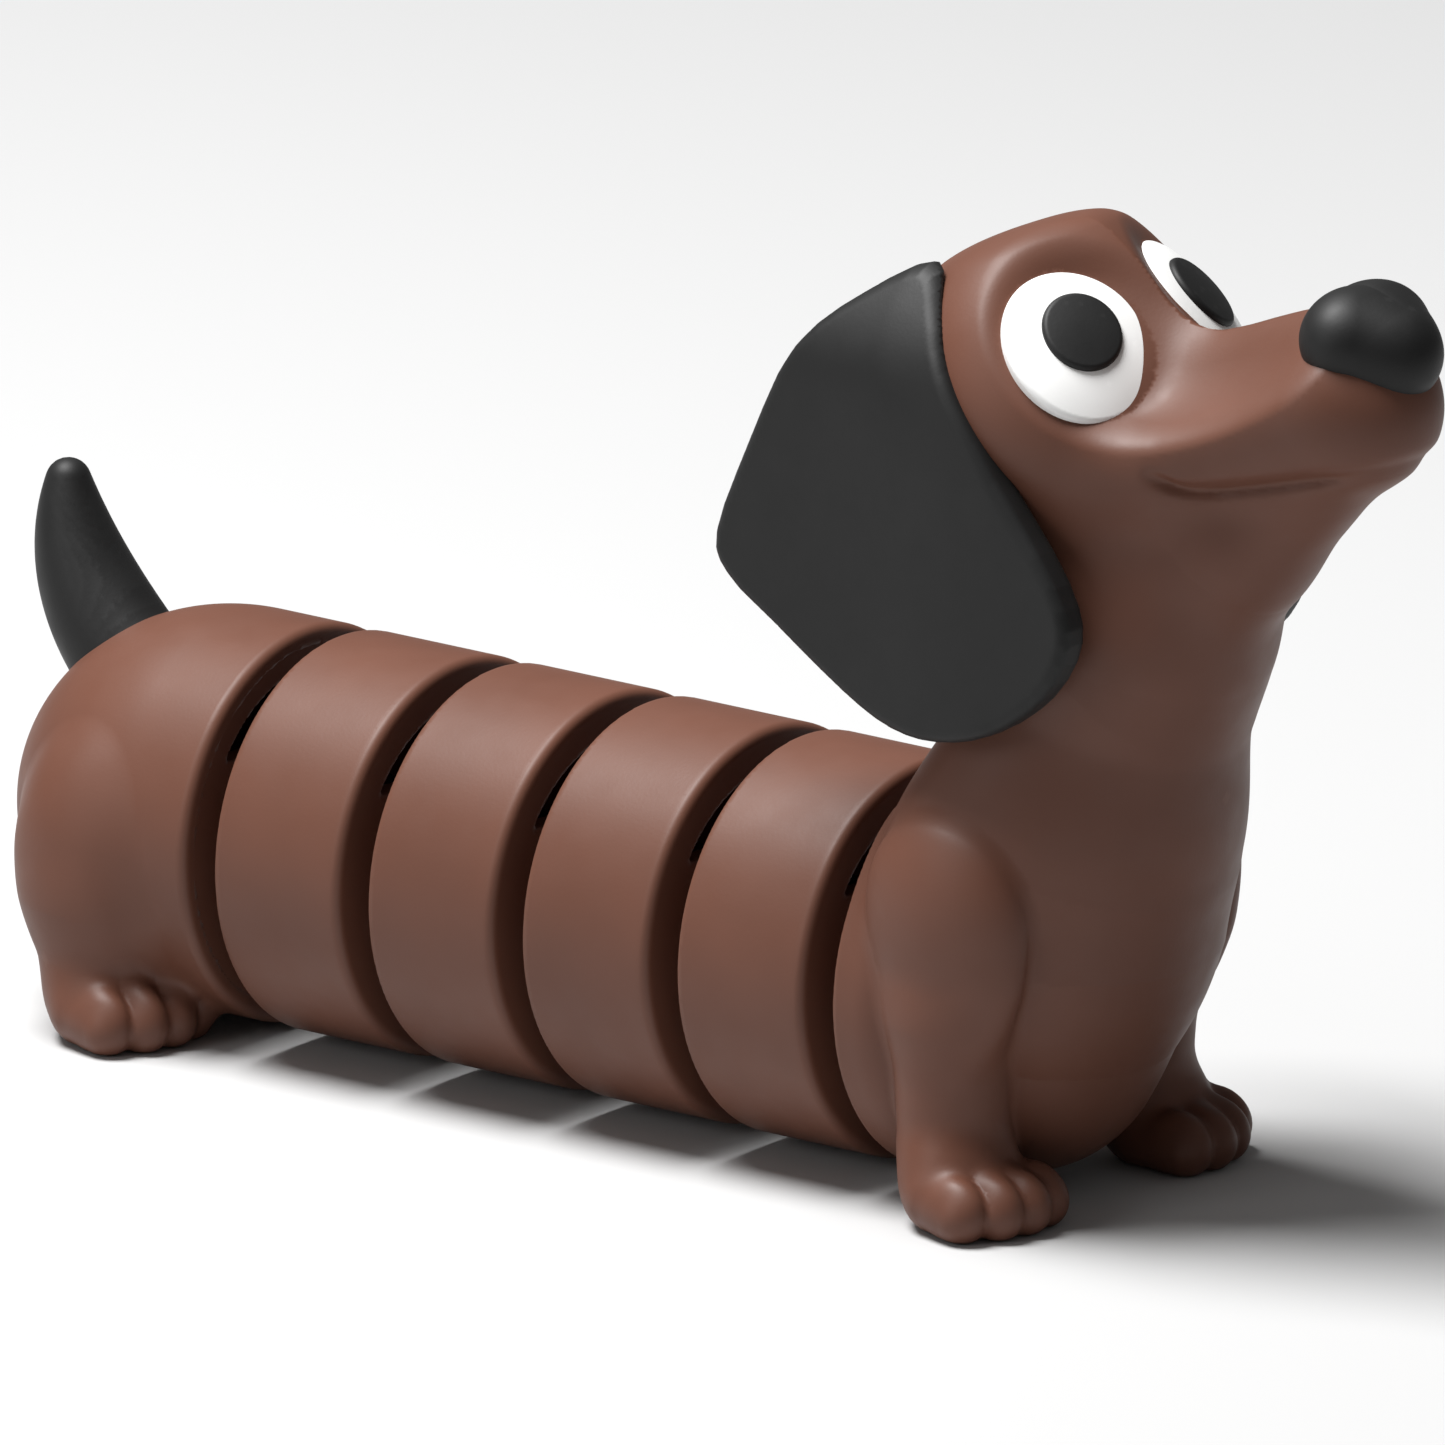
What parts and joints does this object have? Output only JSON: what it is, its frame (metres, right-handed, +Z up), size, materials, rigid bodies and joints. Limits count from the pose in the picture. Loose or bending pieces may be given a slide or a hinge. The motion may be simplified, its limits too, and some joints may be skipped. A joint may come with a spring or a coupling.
{
  "type": "articulated dachshund puzzle",
  "caption": "Desk puzzle toy shaped like a dachshund: rump, drums and chest with head, joined by swivel links that bend and spin.",
  "frame": {"origin": "on the surface that the toy stands on, below the middle of its length from tail to muzzle", "axes": "+X from tail to nose, +Y to the dog's left, +Z up"},
  "size_m": [0.1878, 0.0538, 0.1075],
  "materials": {
    "brown_plastic": "matte moulded plastic, warm brown",
    "black_plastic": "matte moulded plastic, near black",
    "white_plastic": "satin white plastic",
    "link_plastic": "slightly waxy dark brown acetal",
    "steel": "bright zinc-plated steel"
  },
  "bodies": {
    "front_section": {"front_casing": "brown_plastic", "front_back_plate": "brown_plastic", "ear_left": "black_plastic", "ear_right": "black_plastic", "eye_left": "white_plastic", "eye_right": "white_plastic", "pupil_left": "black_plastic", "pupil_right": "black_plastic", "nose": "black_plastic"},
    "rear_section": {"rear_casing": "brown_plastic", "rear_bulkhead": "brown_plastic", "tail": "black_plastic", "hinge_pin_1": "steel"},
    "drum_1": {"drum_1_casing": "brown_plastic", "drum_1_back_plate": "brown_plastic", "hinge_pin_2": "steel"},
    "drum_2": {"drum_2_casing": "brown_plastic", "drum_2_back_plate": "brown_plastic", "hinge_pin_3": "steel"},
    "drum_3": {"drum_3_casing": "brown_plastic", "drum_3_back_plate": "brown_plastic", "hinge_pin_4": "steel"},
    "drum_4": {"drum_4_casing": "brown_plastic", "drum_4_back_plate": "brown_plastic", "hinge_pin_5": "steel"},
    "swivel_1": {"link_1": "link_plastic", "swivel_washer_1": "steel", "swivel_screw_1": "steel"},
    "swivel_2": {"link_2": "link_plastic", "swivel_washer_2": "steel", "swivel_screw_2": "steel"},
    "swivel_3": {"link_3": "link_plastic", "swivel_washer_3": "steel", "swivel_screw_3": "steel"},
    "swivel_4": {"link_4": "link_plastic", "swivel_washer_4": "steel", "swivel_screw_4": "steel"},
    "swivel_5": {"link_5": "link_plastic", "swivel_washer_5": "steel", "swivel_screw_5": "steel"}
  },
  "joints": [
    {"name": "twist_5", "type": "hinge", "parent": "front_section", "child": "swivel_5", "pos_m": [0.0307, 0, 0.02225], "axis": [1, 0, 0], "continuous": true},
    {"name": "bend_5", "type": "hinge", "parent": "swivel_5", "child": "drum_4", "pos_m": [0.0227, 0, 0.02225], "axis": [0, 0, 1], "range_deg": [-10, 10]},
    {"name": "twist_4", "type": "hinge", "parent": "drum_4", "child": "swivel_4", "pos_m": [0.0097, 0, 0.02225], "axis": [1, 0, 0], "continuous": true},
    {"name": "bend_4", "type": "hinge", "parent": "swivel_4", "child": "drum_3", "pos_m": [0.0017, 0, 0.02225], "axis": [0, 0, 1], "range_deg": [-10, 10]},
    {"name": "twist_3", "type": "hinge", "parent": "drum_3", "child": "swivel_3", "pos_m": [-0.0113, 0, 0.02225], "axis": [1, 0, 0], "continuous": true},
    {"name": "bend_3", "type": "hinge", "parent": "swivel_3", "child": "drum_2", "pos_m": [-0.0193, 0, 0.02225], "axis": [0, 0, 1], "range_deg": [-10, 10]},
    {"name": "twist_2", "type": "hinge", "parent": "drum_2", "child": "swivel_2", "pos_m": [-0.0323, 0, 0.02225], "axis": [1, 0, 0], "continuous": true},
    {"name": "bend_2", "type": "hinge", "parent": "swivel_2", "child": "drum_1", "pos_m": [-0.0403, 0, 0.02225], "axis": [0, 0, 1], "range_deg": [-10, 10]},
    {"name": "twist_1", "type": "hinge", "parent": "drum_1", "child": "swivel_1", "pos_m": [-0.0533, 0, 0.02225], "axis": [1, 0, 0], "continuous": true},
    {"name": "bend_1", "type": "hinge", "parent": "swivel_1", "child": "rear_section", "pos_m": [-0.0613, 0, 0.02225], "axis": [0, 0, 1], "range_deg": [-10, 10]}
  ]
}
